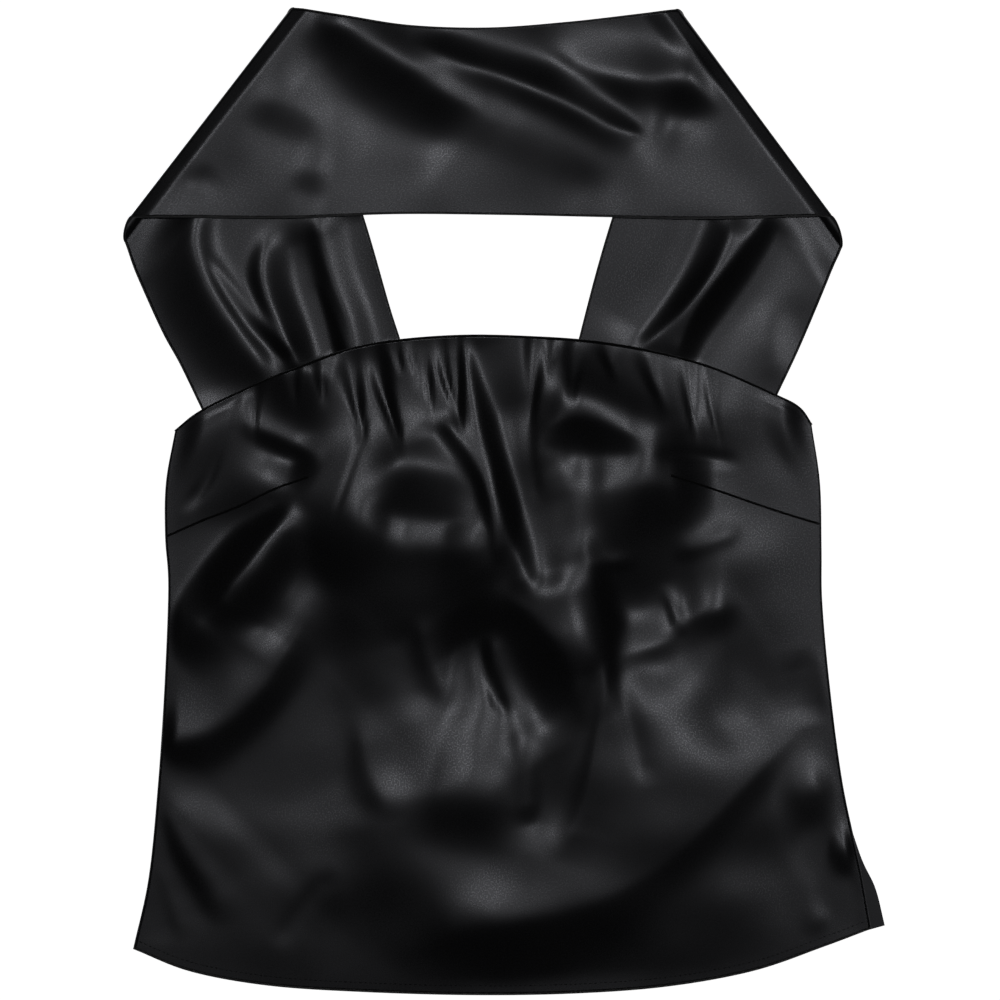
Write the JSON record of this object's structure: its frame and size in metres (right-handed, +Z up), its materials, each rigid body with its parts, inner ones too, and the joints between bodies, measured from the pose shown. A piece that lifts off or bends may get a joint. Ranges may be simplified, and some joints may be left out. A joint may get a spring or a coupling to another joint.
{
  "type": "off-the-shoulder satin top",
  "caption": "Sleeveless satin top laid flat: gathered darted front over a plain back, and one wide strip forming both straps and a crossing shoulder band.",
  "frame": {"origin": "on the surface it lies on, under the middle of its outline", "axes": "+Z up out of the surface, +Y from the hem to the shoulder band, +X towards the picture's right"},
  "size_m": [0.4873, 0.6318, 0.0121],
  "materials": {
    "front_panel": "black satin, soft sheen",
    "back_panel": "black satin, soft sheen",
    "shoulder_band": "black satin, soft sheen"
  },
  "bodies": {
    "root": {"front_panel": "front_panel", "back_panel": "back_panel", "shoulder_band": "shoulder_band"}
  },
  "joints": []
}
